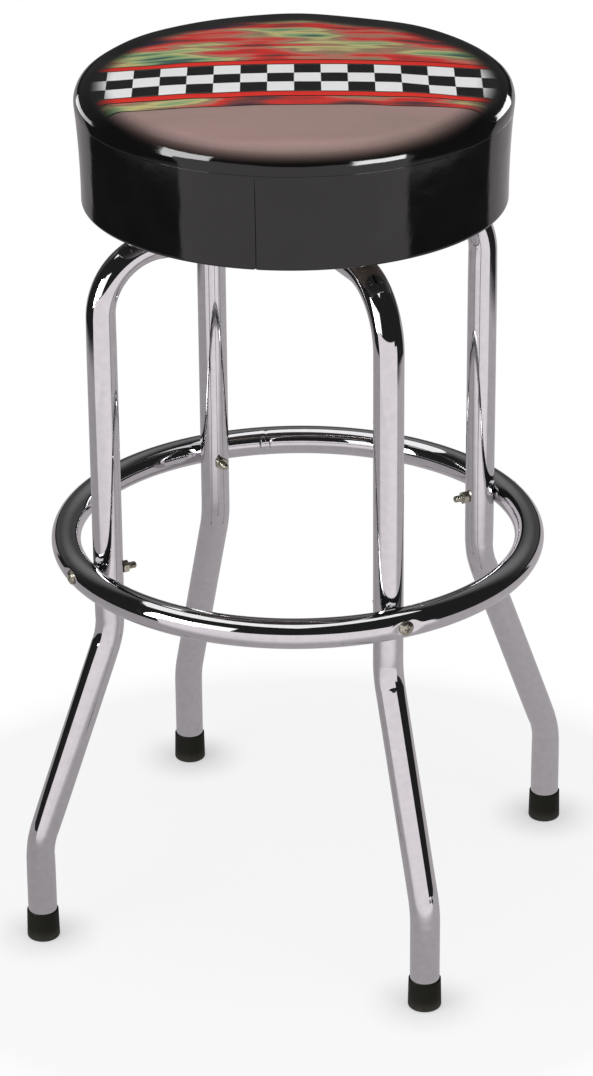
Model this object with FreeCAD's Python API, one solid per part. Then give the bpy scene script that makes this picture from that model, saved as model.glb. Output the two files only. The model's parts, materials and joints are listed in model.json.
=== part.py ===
import FreeCAD, Part
import math
import os

# Shop stool: a padded swivel seat on two crossed, bent-tube leg frames with a bolted foot ring.
# Millimetres, +Z up. The origin is on the floor, on the axis that the seat turns about.
# The legs stand on the diagonals, so the front is between two legs, towards -Y.

# Leg frames: one bent tube each, from foot to foot
tube_diameter = 25.4
tube_wall = 1.5
leg_circle_radius = 178.0
foot_circle_radius = 249.8
foot_bend_height = 92.8
splay_bend_height = 283.5
splay_bend_radius = 72.0
top_run_height = 627.6
top_bend_radius = 55.0
lower_frame_angle = 45.0
upper_frame_angle = 135.0

# Pressed flats where one frame crosses the other
crossing_gap = 0.2
crossing_side_clearance = 0.4
crossing_ramp = 9.0

# Foot ring: tube rolled to a circle, pressed to a seat on each leg and dimpled for each screw head
ring_tube_diameter = 25.4
ring_tube_wall = 1.2
ring_height = 341.0
ring_seat_depth = 2.4
ring_seat_clearance = 0.05
dimple_depth = 1.9
dimple_floor_radius = 7.0
dimple_mouth_radius = 16.0

# Screws and nuts that hold the ring to the legs
ring_screw_diameter = 6.0
ring_screw_head_diameter = 12.6
ring_screw_head_height = 3.6
ring_screw_tail = 7.4
ring_nut_across_flats = 10.0
ring_nut_height = 5.0

# Rim and cross recess of every pan head
head_rim_height = 1.3
recess_length = 5.4
recess_width = 1.3
recess_depth = 1.8

# Clearances shared by all fasteners, on the radius
hole_clearance = 0.25
thread_clearance = 0.05

# Rubber foot tips, each with a steel disc under the end of the tube
tip_height = 27.0
tip_floor = 5.0
tip_wall = 1.6
tip_mouth_wall = 1.1
tip_mouth_radius = 0.6
tip_clearance = 0.05
tip_edge_radius = 2.2
tip_sole_recess_radius = 7.0
tip_sole_recess_depth = 1.0
tip_disc_thickness = 1.5

# Swivel: two pressed plates, a ring of balls between them and a hollow rivet that holds them
plate_thickness = 3.5
lower_plate_side = 116.0
upper_plate_side = 165.0
plate_corner_radius = 14.0
ball_diameter = 6.35
ball_circle_radius = 34.0
ball_count = 12
race_depth = 0.98
race_clearance = 0.12
cage_thickness = 1.6
cage_half_width = 6.5
hub_offset = 1.7
hub_radius = 16.0
hub_slope = 4.0
rivet_diameter = 14.0
rivet_bore_diameter = 8.0
rivet_flange_diameter = 26.0
running_clearance = 0.08
face_clearance = 0.15

# Bolts that hold the lower plate down on the leg frames
frame_bolt_circle_radius = 54.0
frame_bolt_diameter = 6.0
frame_bolt_neck_side = 6.4
frame_bolt_head_diameter = 13.0
frame_bolt_head_clearance = 1.3
frame_bolt_tail = 1.0
frame_nut_across_flats = 10.0
frame_nut_height = 4.0
frame_washer_diameter = 13.0
frame_washer_thickness = 1.4

# Screws and tee nuts that hold the board on the upper plate
seat_screw_circle_radius = 98.0
seat_screw_diameter = 5.0
seat_screw_head_diameter = 10.0
seat_screw_head_height = 3.0
tee_nut_barrel_diameter = 7.0
tee_nut_flange_diameter = 18.0
tee_nut_flange_thickness = 1.4

# Upholstered seat
seat_radius = 183.0
cushion_height = 110.3
crown_rise = 6.0
bead_radius = 19.0
seam_angle = 18.0
band_hollow = 0.95
base_draw_in = 3.4
base_edge_radius = 2.5
cover_thickness = 1.2
board_thickness = 12.0
hem_width = 26.0

# Staples that hold the cover's hem under the board
staple_count = 28
staple_crown = 10.0
staple_wire = 0.8
staple_leg = 6.0
staple_edge_distance = 10.0

# Places worked out from those sizes
tube_radius = tube_diameter / 2
tube_end_height = tip_floor + tip_disc_thickness
ring_tube_radius = ring_tube_diameter / 2
ring_radius = leg_circle_radius + tube_radius + ring_tube_radius - ring_seat_depth
ring_outer_radius = ring_radius + ring_tube_radius
plate_gap = ball_diameter - 2 * race_depth
lower_plate_bottom = top_run_height + tube_radius
lower_plate_top = lower_plate_bottom + plate_thickness
upper_plate_bottom = lower_plate_top + plate_gap
board_bottom = upper_plate_bottom + plate_thickness
board_top = board_bottom + board_thickness
ball_height = lower_plate_top + plate_gap / 2
crown_height = board_bottom + cushion_height
bead_circle_radius = seat_radius - bead_radius
bead_height = crown_height - crown_rise - bead_radius
seam_height = bead_height - bead_radius * math.sin(math.radians(seam_angle))
base_radius = bead_circle_radius + bead_radius * math.cos(math.radians(seam_angle)) - base_draw_in
hem_inner_radius = base_radius - base_edge_radius - hem_width
leg_angles = [lower_frame_angle, upper_frame_angle, lower_frame_angle + 180, upper_frame_angle + 180]

origin = FreeCAD.Vector(0, 0, 0)
up = FreeCAD.Vector(0, 0, 1)
outward = FreeCAD.Vector(1, 0, 0)


def at(radius, height):
    """A point in the XZ plane, where X is the distance from the seat's axis."""
    return FreeCAD.Vector(radius, 0, height)


def turned(shape, angle):
    """A copy of a shape, turned about the seat's axis."""
    copy = shape.copy()
    copy.rotate(origin, up, angle)
    return copy


def around(shape, angles):
    """Separate copies of a shape at several angles about the seat's axis."""
    return Part.makeCompound([turned(shape, angle) for angle in angles])


def outline(start, *steps):
    """A closed face in the XZ plane. A step is the next corner, or (a point on an arc, its end)."""
    edges = []
    here = at(*start)
    for step in steps + (start,):
        is_arc = isinstance(step[0], tuple)
        end = at(*(step[1] if is_arc else step))
        edges.append(Part.Arc(here, at(*step[0]), end).toShape() if is_arc else Part.makeLine(here, end))
        here = end
    return Part.Face(Part.Wire(edges))


def spun(face):
    """The solid that a face in the XZ plane sweeps out about the Z axis."""
    return face.revolve(origin, up, 360)


def on_arc(centre, radius, degrees):
    """The point on an arc in the XZ plane, with the angle counted up from level."""
    angle = math.radians(degrees)
    return (centre[0] + radius * math.cos(angle), centre[1] + radius * math.sin(angle))


def dome(radius, base, height):
    """The step of an outline that goes from a rim up to the axis on part of a ball."""
    ball_radius = (radius ** 2 + height ** 2) / (2 * height)
    centre = (0, base + height - ball_radius)
    rim_angle = math.degrees(math.asin((base - centre[1]) / ball_radius))
    return (on_arc(centre, ball_radius, (rim_angle + 90) / 2), (0, base + height))


def ring_solid(inner_radius, outer_radius, bottom, height):
    """A flat ring about the Z axis."""
    ring = Part.makeCylinder(outer_radius, height, at(0, bottom))
    return ring.cut(Part.makeCylinder(inner_radius, height, at(0, bottom)))


def pointed_outwards(shape, radius, height):
    """A shape that was made along +Z at the origin, laid to point outwards at a place on the X axis."""
    laid = shape.copy()
    laid.rotate(origin, FreeCAD.Vector(0, 1, 0), 90)
    laid.translate(at(radius, height))
    return laid


def rounded_square(side, corner_radius, bottom, height):
    """A square plate about the Z axis, with rounded corners."""
    blank = Part.makeBox(side, side, height, FreeCAD.Vector(-side / 2, -side / 2, bottom))
    corners = [edge for edge in blank.Edges if abs(edge.tangentAt(edge.FirstParameter).z) > 0.9]
    return blank.makeFillet(corner_radius, corners)


def hex_nut(across_flats, height, bore_radius):
    """A hexagon nut on the XY plane, with its outer corners turned off at both faces."""
    corner_radius = across_flats / math.sqrt(3)
    corners = [FreeCAD.Rotation(up, 60 * i).multVec(outward * corner_radius) for i in range(7)]
    nut = Part.Face(Part.makePolygon(corners)).extrude(up * height)
    flat_radius = across_flats / 2
    turned_off = (corner_radius - flat_radius) * math.tan(math.radians(30))
    rounded = spun(outline((0, 0), (flat_radius, 0), (corner_radius, turned_off),
                           (corner_radius, height - turned_off), (flat_radius, height), (0, height)))
    return nut.common(rounded).cut(Part.makeCylinder(bore_radius, height))


def pan_screw(diameter, length, head_diameter, head_height):
    """A pan-head screw that points down, with the underside of its head on the XY plane."""
    head_radius = head_diameter / 2
    shank_radius = diameter / 2
    screw = spun(outline((0, -length), (shank_radius, -length), (shank_radius, 0), (head_radius, 0),
                         (head_radius, head_rim_height),
                         dome(head_radius, head_rim_height, head_height - head_rim_height)))
    slot_corner = FreeCAD.Vector(-recess_length / 2, -recess_width / 2, head_height - recess_depth)
    slot = Part.makeBox(recess_length, recess_width, recess_depth, slot_corner)
    return screw.cut(slot.fuse(turned(slot, 90)))


def rounded_path(points, radii):
    """A wire through straight runs, with a tangent arc of the given radius at each inner corner."""
    edges = []
    here = points[0]
    for before, corner, after, radius in zip(points, points[1:], points[2:], radii):
        back = (before - corner).normalize()
        ahead = (after - corner).normalize()
        half_corner = back.getAngle(ahead) / 2
        reach = radius / math.tan(half_corner)
        inward = (back + ahead).normalize()
        start = corner + back * reach
        middle = corner + inward * (radius / math.sin(half_corner) - radius)
        end = corner + ahead * reach
        edges.append(Part.makeLine(here, start))
        edges.append(Part.Arc(start, middle, end).toShape())
        here = end
    edges.append(Part.makeLine(here, points[-1]))
    return Part.Wire(edges)


def leg_path():
    """The centre line of a leg frame in the XZ plane, from the end of one foot to the other."""
    right = [at(foot_circle_radius, tube_end_height), at(foot_circle_radius, foot_bend_height),
             at(leg_circle_radius, splay_bend_height), at(leg_circle_radius, top_run_height)]
    left = [FreeCAD.Vector(-point.x, 0, point.z) for point in reversed(right)]
    radii = [splay_bend_radius, splay_bend_radius, top_bend_radius]
    return rounded_path(right + left, radii + radii[::-1])


def rod_along(path, radius):
    """A round rod along a path that starts straight up."""
    start = path.OrderedVertexes[0].Point
    section = Part.Wire(Part.makeCircle(radius, start, up))
    return path.makePipeShell([section], True)


def crossing_press(side, depth):
    """The tool that presses a top run flat for the other frame. Side is 1 from above, -1 from below."""
    flat = tube_radius + crossing_side_clearance + depth
    floor = top_run_height + side * (-crossing_gap / 2 - depth)
    reach = top_run_height + side * 2 * tube_radius
    run_out = flat + crossing_ramp * 2
    wedge = outline((-flat, floor), (flat, floor), (run_out, reach), (-run_out, reach))
    wedge.translate(FreeCAD.Vector(0, -tube_diameter, 0))
    return wedge.extrude(FreeCAD.Vector(0, 2 * tube_diameter, 0))


def leg_frame(angle, side):
    """One bent tube: two feet, two splayed legs and a top run that is pressed where it crosses."""
    path = leg_path()
    outside = rod_along(path, tube_radius).cut(crossing_press(side, 0))
    inside = rod_along(path, tube_radius - tube_wall).cut(crossing_press(side, tube_wall))
    tube = outside.cut(inside)
    plate_hole = Part.makeCylinder(frame_bolt_diameter / 2 + hole_clearance, 2 * tube_diameter,
                                   at(frame_bolt_circle_radius, top_run_height - tube_diameter))
    ring_hole = Part.makeCylinder(ring_screw_diameter / 2 + hole_clearance, 2 * tube_diameter)
    ring_hole = pointed_outwards(ring_hole, leg_circle_radius - tube_diameter, ring_height)
    holes = [turned(hole, turn) for hole in (plate_hole, ring_hole) for turn in (0, 180)]
    return turned(tube.cut(Part.makeCompound(holes)), angle)


def dimple_press(depth):
    """The tapered tool that sinks a screw head's seat into the outside of the ring."""
    floor = dimple_depth + depth
    slope = (dimple_mouth_radius - dimple_floor_radius) / dimple_depth
    clear = ring_tube_radius
    tool = spun(outline((0, -floor), (dimple_floor_radius, -floor),
                        (dimple_floor_radius + slope * (floor + clear), clear), (0, clear)))
    return pointed_outwards(tool, ring_outer_radius, ring_height)


def leg_press(depth):
    """The round tool that presses a leg's seat into the inside of the ring."""
    return Part.makeCylinder(tube_radius + ring_seat_clearance + depth, 2 * ring_tube_diameter,
                             at(leg_circle_radius, ring_height - ring_tube_diameter))


def foot_ring():
    """A closed hollow ring, pressed from both sides at each leg, with a hole through each pressing."""
    outside = Part.makeTorus(ring_radius, ring_tube_radius, at(0, ring_height))
    inside = Part.makeTorus(ring_radius, ring_tube_radius - ring_tube_wall, at(0, ring_height))
    for angle in leg_angles:
        for press in (dimple_press, leg_press):
            outside = outside.cut(turned(press(0), angle))
            inside = inside.cut(turned(press(ring_tube_wall), angle))
    hole = Part.makeCylinder(ring_screw_diameter / 2 + hole_clearance, 2 * ring_tube_diameter)
    hole = pointed_outwards(hole, ring_radius - ring_tube_diameter, ring_height)
    return outside.cut(inside).cut(around(hole, leg_angles))


def ring_screws():
    """One screw through the ring and each leg, with its head down in the dimple."""
    seat = ring_outer_radius - dimple_depth
    nut_face = leg_circle_radius - tube_radius - ring_nut_height
    screw = pan_screw(ring_screw_diameter, seat - nut_face + ring_screw_tail,
                      ring_screw_head_diameter, ring_screw_head_height)
    return around(pointed_outwards(screw, seat, ring_height), leg_angles)


def ring_nuts():
    """A nut on the inner side of each leg."""
    nut = hex_nut(ring_nut_across_flats, ring_nut_height, ring_screw_diameter / 2 + thread_clearance)
    return around(pointed_outwards(nut, leg_circle_radius - tube_radius - ring_nut_height, ring_height),
                  leg_angles)


def foot_tip(angle):
    """A rubber cup that tapers to a rounded mouth, with a rounded foot and a hollow in its sole."""
    bore = tube_radius + tip_clearance
    wall = bore + tip_wall
    mouth = bore + tip_mouth_wall
    edge = on_arc((wall - tip_edge_radius, tip_edge_radius), tip_edge_radius, -45)
    rim_centre = (mouth - tip_mouth_radius, tip_height - tip_mouth_radius)
    rim = on_arc(rim_centre, tip_mouth_radius, 45)
    cup = outline((tip_sole_recess_radius, 0), (wall - tip_edge_radius, 0),
                  (edge, (wall, tip_edge_radius)), (mouth, rim_centre[1]),
                  (rim, (rim_centre[0], tip_height)), (bore, tip_height), (bore, tip_floor),
                  (0, tip_floor), (0, tip_sole_recess_depth),
                  (tip_sole_recess_radius, tip_sole_recess_depth))
    tip = spun(cup)
    tip.translate(at(foot_circle_radius, 0))
    return turned(tip, angle)


def tip_discs():
    """The steel disc that keeps each tube from cutting through its tip."""
    disc = Part.makeCylinder(tube_radius, tip_disc_thickness, at(foot_circle_radius, tip_floor))
    return around(disc, leg_angles)


def race_tool():
    """The round groove that the balls run in."""
    return Part.makeTorus(ball_circle_radius, ball_diameter / 2 + race_clearance, at(0, ball_height))


def hub_profile(bottom, offset, bore_radius):
    """The sheet's section from the hub to where it is flat again."""
    outer = hub_radius + hub_slope
    top = bottom + plate_thickness
    return outline((bore_radius, bottom + offset), (hub_radius, bottom + offset), (outer, bottom),
                   (outer, top), (hub_radius, top + offset), (bore_radius, top + offset))


def pressed_plate(side, bottom, offset, bore_radius):
    """A square sheet with a ball race and a raised or sunk hub."""
    sheet = rounded_square(side, plate_corner_radius, bottom, plate_thickness)
    sheet = sheet.cut(Part.makeCylinder(hub_radius + hub_slope, plate_thickness, at(0, bottom)))
    return sheet.fuse(spun(hub_profile(bottom, offset, bore_radius))).removeSplitter().cut(race_tool())


def swivel_lower_plate():
    """The plate that is bolted to the frames, with square holes for the bolts' necks."""
    plate = pressed_plate(lower_plate_side, lower_plate_bottom, hub_offset, rivet_diameter / 2)
    neck = bolt_neck(frame_bolt_neck_side + 2 * hole_clearance)
    return plate.cut(around(neck, leg_angles))


def bolt_neck(side):
    """The square neck under a frame bolt's head, as deep as the plate."""
    corner = FreeCAD.Vector(frame_bolt_circle_radius - side / 2, -side / 2, lower_plate_bottom)
    return Part.makeBox(side, side, plate_thickness, corner)


def frame_bolts():
    """Round-headed bolts with square necks, from the lower plate down through the top runs."""
    radius = frame_bolt_diameter / 2
    head_radius = frame_bolt_head_diameter / 2
    head_height = plate_gap - frame_bolt_head_clearance
    end = (top_run_height - tube_radius - frame_washer_thickness - frame_nut_height - frame_bolt_tail)
    bolt = spun(outline((0, end), (radius, end), (radius, lower_plate_top), (head_radius, lower_plate_top),
                        dome(head_radius, lower_plate_top, head_height)))
    bolt.translate(at(frame_bolt_circle_radius, 0))
    return around(bolt.fuse(bolt_neck(frame_bolt_neck_side)), leg_angles)


def frame_washers():
    """A flat washer under each top run."""
    washer = ring_solid(frame_bolt_diameter / 2 + hole_clearance, frame_washer_diameter / 2,
                        top_run_height - tube_radius - frame_washer_thickness, frame_washer_thickness)
    washer.translate(at(frame_bolt_circle_radius, 0))
    return around(washer, leg_angles)


def frame_nuts():
    """A nut under each washer."""
    nut = hex_nut(frame_nut_across_flats, frame_nut_height, frame_bolt_diameter / 2 + thread_clearance)
    bottom = top_run_height - tube_radius - frame_washer_thickness - frame_nut_height
    nut.translate(at(frame_bolt_circle_radius, bottom))
    return around(nut, leg_angles)


def swivel_rivet():
    """The hollow rivet, closed tight on the lower hub and with running room over the upper one."""
    shank = rivet_diameter / 2
    bore = rivet_bore_diameter / 2
    flange = rivet_flange_diameter / 2
    lower_hub = lower_plate_bottom + hub_offset
    upper_hub = board_bottom - hub_offset + face_clearance
    bottom = lower_plate_bottom + face_clearance
    top = board_bottom - face_clearance
    return spun(outline((bore, bottom), (flange, bottom), (flange, lower_hub), (shank, lower_hub),
                        (shank, upper_hub), (flange, upper_hub), (flange, top), (bore, top)))


def thrust_washer():
    """The washer between the two hubs, lying on the lower one."""
    bottom = lower_plate_top + hub_offset
    height = plate_gap - 2 * hub_offset - face_clearance
    return ring_solid(rivet_diameter / 2 + running_clearance, rivet_flange_diameter / 2, bottom, height)


def ball_angles():
    """The angles of the balls about the seat's axis."""
    return [360 / ball_count * i for i in range(ball_count)]


def swivel_balls():
    """The balls, evenly spaced in the race."""
    return around(Part.makeSphere(ball_diameter / 2, at(ball_circle_radius, ball_height)), ball_angles())


def ball_cage():
    """A flat ring with a pocket for each ball."""
    bottom = ball_height - cage_thickness / 2
    cage = ring_solid(ball_circle_radius - cage_half_width, ball_circle_radius + cage_half_width,
                      bottom, cage_thickness)
    pocket = Part.makeCylinder(ball_diameter / 2 + race_clearance, cage_thickness,
                               at(ball_circle_radius, bottom))
    return cage.cut(around(pocket, ball_angles()))


def swivel_upper_plate():
    """The plate that is screwed to the board and turns on the rivet."""
    plate = pressed_plate(upper_plate_side, upper_plate_bottom, -hub_offset,
                          rivet_diameter / 2 + running_clearance)
    hole = Part.makeCylinder(seat_screw_diameter / 2 + hole_clearance, plate_thickness,
                             at(seat_screw_circle_radius, upper_plate_bottom))
    return plate.cut(around(hole, leg_angles))


def seat_screws():
    """Pan-head screws from below, through the upper plate and into the tee nuts."""
    length = plate_thickness + board_thickness
    screw = pan_screw(seat_screw_diameter, length, seat_screw_head_diameter, seat_screw_head_height)
    screw.rotate(origin, outward, 180)
    screw.translate(at(seat_screw_circle_radius, upper_plate_bottom))
    return around(screw, leg_angles)


def tee_nuts():
    """Tee nuts let into the board from above."""
    bore = seat_screw_diameter / 2 + thread_clearance
    flange_top = board_top + tee_nut_flange_thickness
    barrel = tee_nut_barrel_diameter / 2
    flange = tee_nut_flange_diameter / 2
    barrel_end = board_bottom + board_thickness / 4
    nut = spun(outline((bore, barrel_end), (barrel, barrel_end), (barrel, board_top), (flange, board_top),
                       (flange, flange_top), (bore, flange_top)))
    nut.translate(at(seat_screw_circle_radius, 0))
    return around(nut, leg_angles)


def seat_body(inset):
    """The round seat, drawn in all over: a crown, a rolled top bead, a hollow side band and a tight foot."""
    crown_radius = (bead_circle_radius ** 2 + crown_rise ** 2) / (2 * crown_rise) + bead_radius
    crown_centre = (0, crown_height - crown_radius)
    crown_edge = 90 - math.degrees(math.asin(bead_circle_radius / (crown_radius - bead_radius)))
    bead_centre = (bead_circle_radius, bead_height)
    base_bottom = board_bottom - cover_thickness
    foot_centre = (base_radius - base_edge_radius, base_bottom + base_edge_radius)
    crown = (on_arc(crown_centre, crown_radius - inset, (crown_edge + 90) / 2),
             on_arc(crown_centre, crown_radius - inset, crown_edge))
    bead = (on_arc(bead_centre, bead_radius - inset, (crown_edge - seam_angle) / 2),
            on_arc(bead_centre, bead_radius - inset, -seam_angle))
    band = ((base_radius + base_draw_in / 2 - band_hollow - inset, (seam_height + foot_centre[1]) / 2),
            (base_radius - inset, foot_centre[1]))
    foot = (on_arc(foot_centre, base_edge_radius - inset, -45),
            on_arc(foot_centre, base_edge_radius - inset, -90))
    return spun(outline((0, crown_height - inset), crown, bead, band, foot, (0, base_bottom + inset)))


def layer(bottom, top):
    """A slab wider than the seat, between two heights."""
    return Part.makeCylinder(2 * seat_radius, top - bottom, at(0, bottom))


def tee_nut_rooms():
    """The holes in the board for the tee nuts' barrels, and the hollows in the foam for their flanges."""
    barrel = Part.makeCylinder(tee_nut_barrel_diameter / 2 + thread_clearance, board_thickness,
                               at(seat_screw_circle_radius, board_bottom))
    flange = Part.makeCylinder(tee_nut_flange_diameter / 2 + hole_clearance,
                               tee_nut_flange_thickness + hole_clearance,
                               at(seat_screw_circle_radius, board_top))
    return around(barrel.fuse(flange), leg_angles)


def seat_board():
    """The plywood disc, with its lower edge rounded for the cover to roll round."""
    return seat_body(cover_thickness).common(layer(board_bottom, board_top)).cut(tee_nut_rooms())


def seat_foam():
    """The foam block on the board, as the cover holds it."""
    return seat_body(cover_thickness).common(layer(board_top, crown_height)).cut(tee_nut_rooms())


def seat_cover():
    """The whole skin over the foam, with an open middle under the board."""
    skin = seat_body(0).cut(seat_body(cover_thickness))
    opening = Part.makeCylinder(hem_inner_radius, board_thickness, at(0, board_bottom - cover_thickness))
    return skin.cut(opening)


def seat_top_cover():
    """The round top panel of the cover, down to the seam under the bead."""
    return seat_cover().common(layer(seam_height, crown_height))


def seat_side_band():
    """The side band of the cover, from the seam to the hem under the board."""
    return seat_cover().common(layer(board_bottom - cover_thickness, seam_height))


def cover_staples():
    """Wire staples driven up through the hem into the board, crowns along the edge."""
    half = staple_crown / 2
    radius = hem_inner_radius + staple_edge_distance
    bottom = board_bottom - cover_thickness - staple_wire
    legs = [Part.makeBox(staple_wire, staple_wire, staple_leg + staple_wire,
                         FreeCAD.Vector(radius, y, bottom)) for y in (-half, half - staple_wire)]
    crown = Part.makeBox(staple_wire, staple_crown, staple_wire, FreeCAD.Vector(radius, -half, bottom))
    staple = crown.fuse(legs).removeSplitter()
    return around(staple, [360 / staple_count * i for i in range(staple_count)])


def save(name, shape):
    """Write one sub-part as a STEP file and print its solids and volume."""
    shape.exportStep("parts/" + name + ".step")
    print(name, len(shape.Solids), "solids", round(shape.Volume), "mm3", shape.isValid())


os.makedirs("parts", exist_ok=True)
save("leg_frame_lower", leg_frame(lower_frame_angle, 1))
save("leg_frame_upper", leg_frame(upper_frame_angle, -1))
save("foot_ring", foot_ring())
save("ring_screws", ring_screws())
save("ring_nuts", ring_nuts())
for name, angle in zip(("back_right", "back_left", "front_left", "front_right"), leg_angles):
    save("foot_tip_" + name, foot_tip(angle))
save("foot_tip_discs", tip_discs())
save("swivel_lower_plate", swivel_lower_plate())
save("frame_bolts", frame_bolts())
save("frame_washers", frame_washers())
save("frame_nuts", frame_nuts())
save("swivel_rivet", swivel_rivet())
save("thrust_washer", thrust_washer())
save("swivel_balls", swivel_balls())
save("ball_cage", ball_cage())
save("swivel_upper_plate", swivel_upper_plate())
save("seat_screws", seat_screws())
save("seat_tee_nuts", tee_nuts())
save("seat_board", seat_board())
save("seat_foam", seat_foam())
save("seat_top_cover", seat_top_cover())
save("seat_side_band", seat_side_band())
save("cover_staples", cover_staples())
print("overall height", round(crown_height, 2), "ring outside", round(2 * ring_outer_radius, 2))
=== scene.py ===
# %% [markdown]
# # A padded swivel stool in chrome and black vinyl
# The stool is a round seat on two bent tubes that cross beneath it, with a foot ring bolted round the
# legs. The imported solids already have every size, so this lesson only dresses them: it loads them as a
# fixed frame, rebuilds the mirror-bright tubes and the soft seat as smooth surfaces, and paints the rest.
# The last cell takes the box of the dressed stool.

# %% Load the imported stool
import json
import math

import bpy
import numpy as np
from mathutils import Matrix, Vector

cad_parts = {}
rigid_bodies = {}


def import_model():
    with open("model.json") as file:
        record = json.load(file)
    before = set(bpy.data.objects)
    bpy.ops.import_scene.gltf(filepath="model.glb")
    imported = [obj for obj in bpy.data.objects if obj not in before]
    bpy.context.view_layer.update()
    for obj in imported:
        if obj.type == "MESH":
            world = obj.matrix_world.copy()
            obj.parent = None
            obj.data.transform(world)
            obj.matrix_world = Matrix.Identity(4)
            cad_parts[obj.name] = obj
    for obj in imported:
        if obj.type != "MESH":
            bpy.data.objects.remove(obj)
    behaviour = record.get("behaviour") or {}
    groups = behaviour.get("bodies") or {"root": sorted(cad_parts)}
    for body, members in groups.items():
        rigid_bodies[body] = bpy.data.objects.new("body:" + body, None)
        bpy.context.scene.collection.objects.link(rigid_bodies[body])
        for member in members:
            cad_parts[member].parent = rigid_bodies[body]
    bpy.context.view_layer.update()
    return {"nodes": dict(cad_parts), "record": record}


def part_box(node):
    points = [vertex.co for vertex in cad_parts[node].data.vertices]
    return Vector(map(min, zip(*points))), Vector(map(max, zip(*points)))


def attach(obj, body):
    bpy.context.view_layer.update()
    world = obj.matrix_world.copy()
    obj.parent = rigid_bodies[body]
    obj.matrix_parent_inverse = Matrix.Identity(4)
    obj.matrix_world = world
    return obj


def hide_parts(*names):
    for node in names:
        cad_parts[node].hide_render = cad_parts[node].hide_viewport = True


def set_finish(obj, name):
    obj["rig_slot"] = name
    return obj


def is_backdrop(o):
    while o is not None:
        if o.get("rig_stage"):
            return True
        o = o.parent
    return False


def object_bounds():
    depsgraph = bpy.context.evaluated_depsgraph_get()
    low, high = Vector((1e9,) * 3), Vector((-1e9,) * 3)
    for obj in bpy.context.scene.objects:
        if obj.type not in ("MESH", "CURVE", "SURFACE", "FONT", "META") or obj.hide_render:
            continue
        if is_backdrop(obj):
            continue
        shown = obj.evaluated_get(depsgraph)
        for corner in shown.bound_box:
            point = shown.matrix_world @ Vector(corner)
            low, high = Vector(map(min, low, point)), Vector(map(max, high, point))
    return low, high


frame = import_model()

scene = bpy.context.scene
scene.view_settings.view_transform = "Standard"

# %% [markdown]
# ## The camera
# The photograph looks down on the stool, yet its legs stay parallel: its lens was shifted far down, or the
# picture was straightened later. A shift that large would push the stool out of every other view, so this
# camera stands at the same place and is tilted instead. It shows the same sides and the same reflections of
# the studio, but the legs draw together a little towards the floor and the seat looks wider.

# %% Camera
camera_turn = math.radians(20.18)
camera_swing = math.radians(0.021)
camera_pitch = math.radians(24.86)
camera_roll = math.radians(-0.48)
camera_reach = 3.0859
camera_height = 1.7644


def in_studio(right, back, height):
    """A place given as the camera sees the floor: metres to the right, metres away, metres up."""
    return Vector((right * math.cos(camera_turn) - back * math.sin(camera_turn),
                   right * math.sin(camera_turn) + back * math.cos(camera_turn), height))


lens = bpy.data.cameras.new("photo_camera")
lens.lens = 130.78
camera = bpy.data.objects.new("photo_camera", lens)
scene.collection.objects.link(camera)
scene.camera = camera
camera.matrix_world = (Matrix.Translation(in_studio(0, -camera_reach, camera_height))
                       @ Matrix.Rotation(camera_turn + camera_swing, 4, "Z")
                       @ Matrix.Rotation(math.pi / 2 - camera_pitch, 4, "X")
                       @ Matrix.Rotation(camera_roll, 4, "Z"))
print("camera at", [round(c, 3) for c in camera.location], "m, lens", lens.lens, "mm")

# %% [markdown]
# ## Helpers for node materials
# Every finish below is a small tree of shader nodes. Writing each link by hand hides the idea of a finish
# in plumbing, so one helper adds a node with its inputs, and a few short ones name the sums that recur. The
# last one starts a piece of the studio, which has a mesh and a finish of its own.

# %% Node helpers
def add_node(tree, kind, inputs=None, **settings):
    """One shader node with its settings; each input is a value, or the socket that it is linked from."""
    node = tree.nodes.new("ShaderNode" + kind)
    for name, value in settings.items():
        setattr(node, name, value)
    for name, value in (inputs or {}).items():
        if isinstance(value, bpy.types.NodeSocket):
            tree.links.new(value, node.inputs[name])
        else:
            node.inputs[name].default_value = value
    return node


def calc(tree, operation, *values):
    """The result of one Math node."""
    return add_node(tree, "Math", dict(enumerate(values)), operation=operation).outputs[0]


def rise(tree, value, low, high):
    """A smooth step from 0 below low to 1 above high."""
    limits = {"Value": value, "From Min": low, "From Max": high}
    return add_node(tree, "MapRange", limits, interpolation_type="SMOOTHSTEP").outputs[0]


def between(tree, value, low, high, soft):
    """One between two limits and 0 outside them, with both edges this soft."""
    inside = rise(tree, value, low - soft, low + soft)
    beyond = rise(tree, value, high - soft, high + soft)
    return calc(tree, "SUBTRACT", inside, beyond)


def blend_colour(tree, share, first, second):
    """The first colour where share is 0 and the second where it is 1."""
    return add_node(tree, "Mix", {0: share, 6: first, 7: second}, data_type="RGBA").outputs[2]


def turned_coordinates(tree, angle):
    """Object coordinates turned about the upright axis, split into right, away and up."""
    place = add_node(tree, "TexCoord").outputs["Object"]
    turn = add_node(tree, "Mapping", {"Vector": place, "Rotation": (0, 0, angle)}).outputs[0]
    return add_node(tree, "SeparateXYZ", {0: turn}).outputs


def studio_mesh(name, points, faces):
    """A mesh of the studio with an empty node tree for its paint. Returns the object and the tree."""
    mesh = bpy.data.meshes.new(name)
    mesh.from_pydata(points.tolist(), [], faces.tolist())
    thing = bpy.data.objects.new(name, mesh)
    scene.collection.objects.link(thing)
    paint = bpy.data.materials.new(name)
    paint.use_nodes = True
    paint.node_tree.nodes.clear()
    mesh.materials.append(paint)
    return thing, paint.node_tree


print("node helpers ready")
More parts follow.
